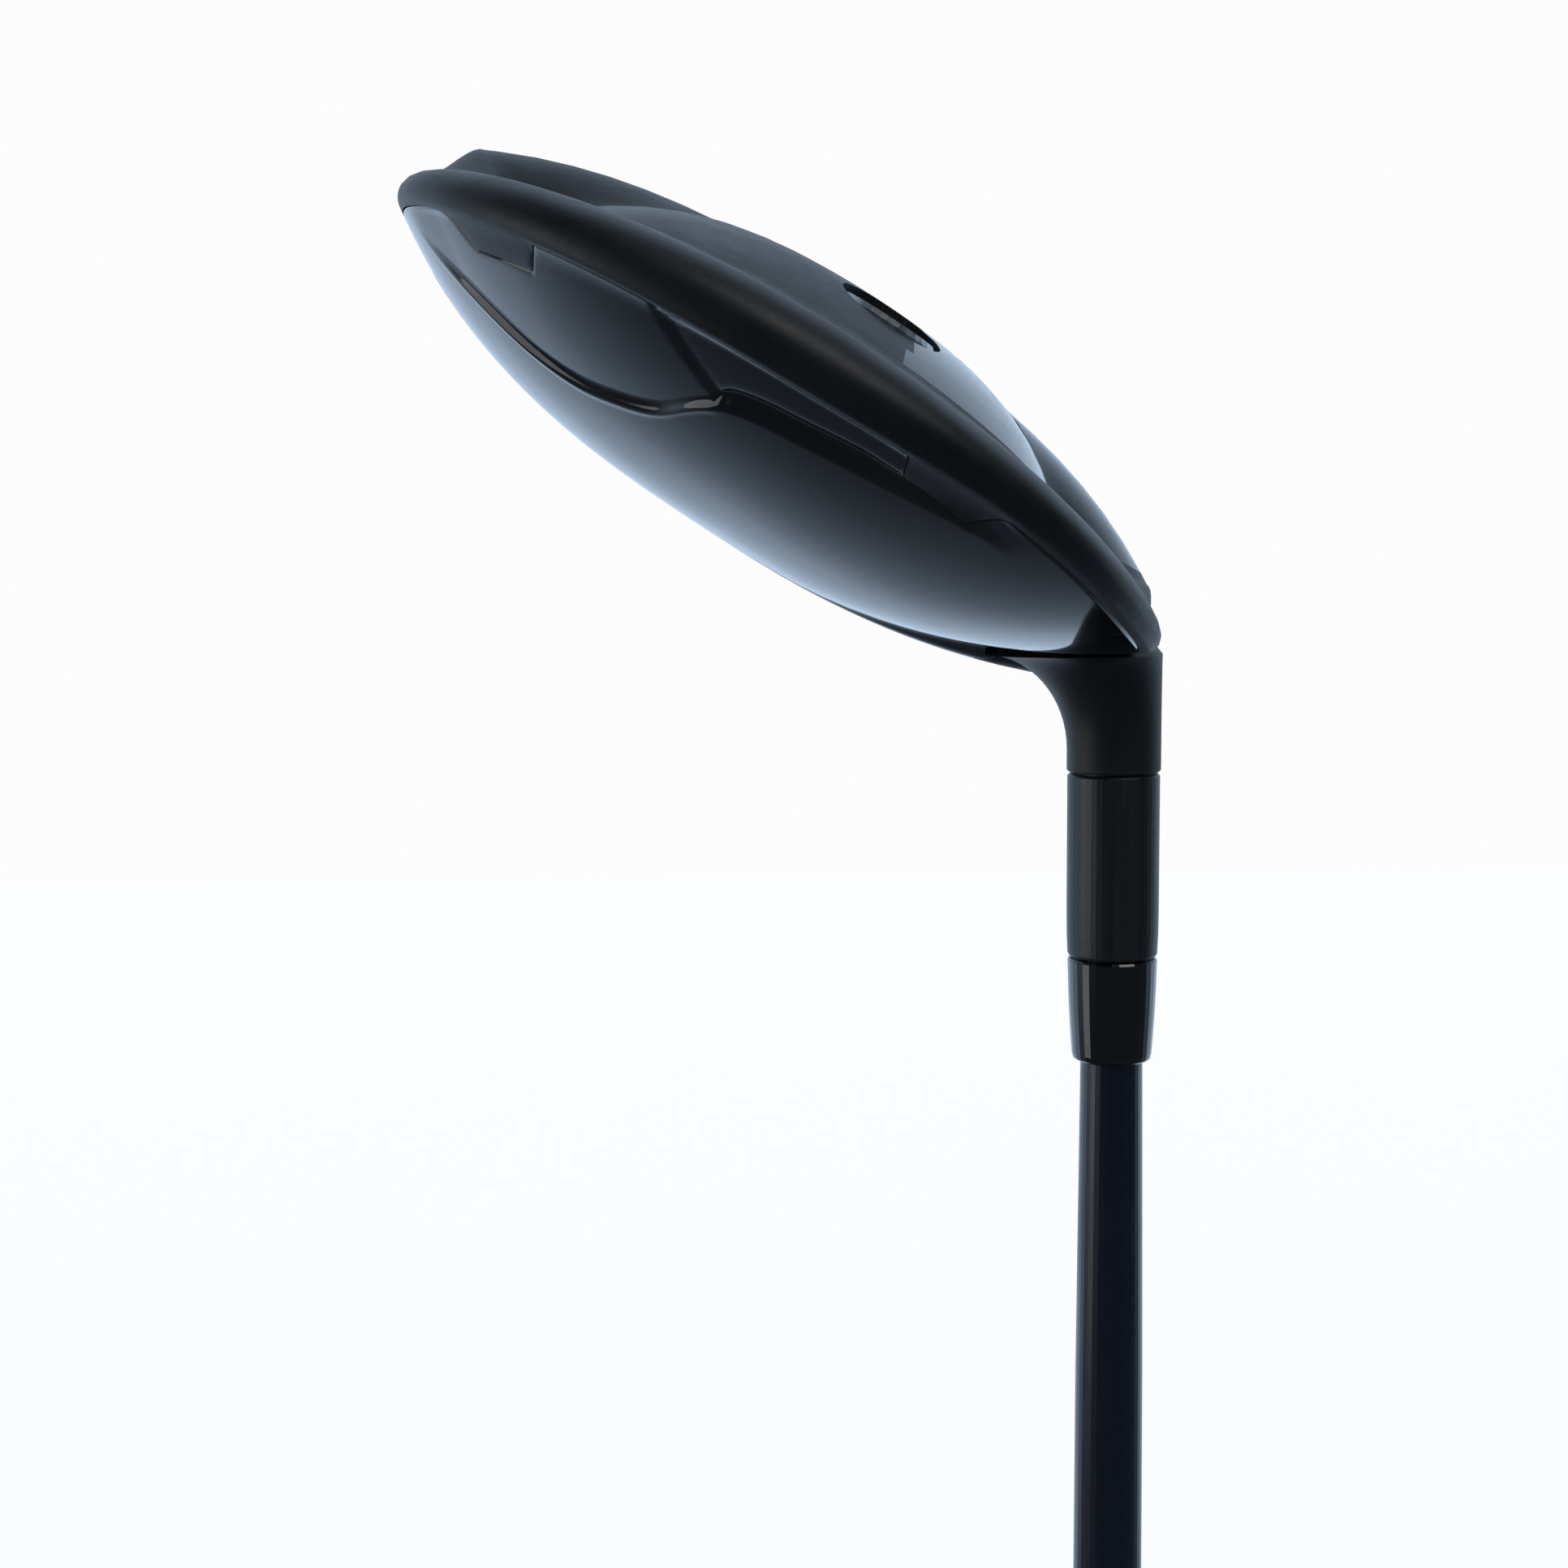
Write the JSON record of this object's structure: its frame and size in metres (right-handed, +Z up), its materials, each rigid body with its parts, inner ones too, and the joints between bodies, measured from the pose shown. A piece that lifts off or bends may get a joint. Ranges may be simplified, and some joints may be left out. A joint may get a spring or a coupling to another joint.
{
  "type": "golf fairway wood",
  "caption": "Right-handed golf fairway wood with stepped gloss crown, matte skirt, adapter-sleeve hosel held by a sole screw, screw-in sole weights, tapered shaft and rubber grip",
  "frame": {"origin": "centre of the grip's butt face, on the shaft axis", "axes": "+Z up the shaft to the head, +X toward the toe side, -Y the side the face looks to"},
  "size_m": [0.1072, 0.0839, 1.1365],
  "materials": {
    "body": "matte black paint over cast steel",
    "crown": "clear-coated gloss black composite",
    "face": "brushed with score lines",
    "gloss": "gloss black",
    "weight": "turned and polished",
    "seal": "black",
    "tungsten": "sintered",
    "glue": "cured glue",
    "steel": "plain",
    "sleeve": "grey anodised, satin",
    "ferrule": "polished black",
    "shaft": "satin navy paint over wound carbon fibre",
    "tape": "paper and glue",
    "grip": "textured black"
  },
  "bodies": {
    "club": {"shaft": "shaft", "tip_plug": "steel", "adapter_sleeve": "sleeve", "thread_insert": "steel", "ferrule": "ferrule", "grip": "grip", "grip_tape": "tape"},
    "head": {"head_body": "body", "crown_panel": "crown", "face_insert": "face", "sole_plate": "gloss", "tungsten_bar": "tungsten", "damping_pad": "glue", "screw_washer": "steel", "screw_retainer": "seal"},
    "hosel_screw": {"hosel_screw": "steel"},
    "rear_seal": {"rear_weight_seal": "seal"},
    "rear_weight": {"rear_weight": "weight"},
    "front_seal": {"front_weight_seal": "seal"},
    "front_weight": {"front_weight": "weight"}
  },
  "joints": [
    {"name": "head_draw_off", "type": "slide", "parent": "club", "child": "head", "axis": [0, 0, 1], "range_m": [0, 0.0048]},
    {"name": "hosel_screw_turn", "type": "hinge", "parent": "head", "child": "hosel_screw", "pos_m": [0, 0, 1.0764], "axis": [0, 0, 1], "range_deg": [0, 2170]},
    {"name": "rear_weight_draw", "type": "slide", "parent": "head", "child": "rear_seal", "axis": [-0.5433, 0.0698, 0.8366], "range_m": [0, 0.004]},
    {"name": "rear_weight_turn", "type": "hinge", "parent": "rear_seal", "child": "rear_weight", "pos_m": [0.03336, 0.044, 1.1104], "axis": [-0.5433, 0.0698, 0.8366], "range_deg": [0, 1440]},
    {"name": "front_weight_draw", "type": "slide", "parent": "head", "child": "front_seal", "axis": [-0.5446, 0, 0.8387], "range_m": [0, 0.004]},
    {"name": "front_weight_turn", "type": "hinge", "parent": "front_seal", "child": "front_weight", "pos_m": [0.03531, -0.001, 1.11475], "axis": [-0.5446, 0, 0.8387], "range_deg": [0, 1440]}
  ],
  "couplings": [
    {"joint": "hosel_screw_turn", "follows": "head_draw_off", "rad_per_m": 7854},
    {"joint": "rear_weight_draw", "follows": "rear_weight_turn", "m_per_rad": 0.00015915},
    {"joint": "front_weight_draw", "follows": "front_weight_turn", "m_per_rad": 0.00015915}
  ]
}
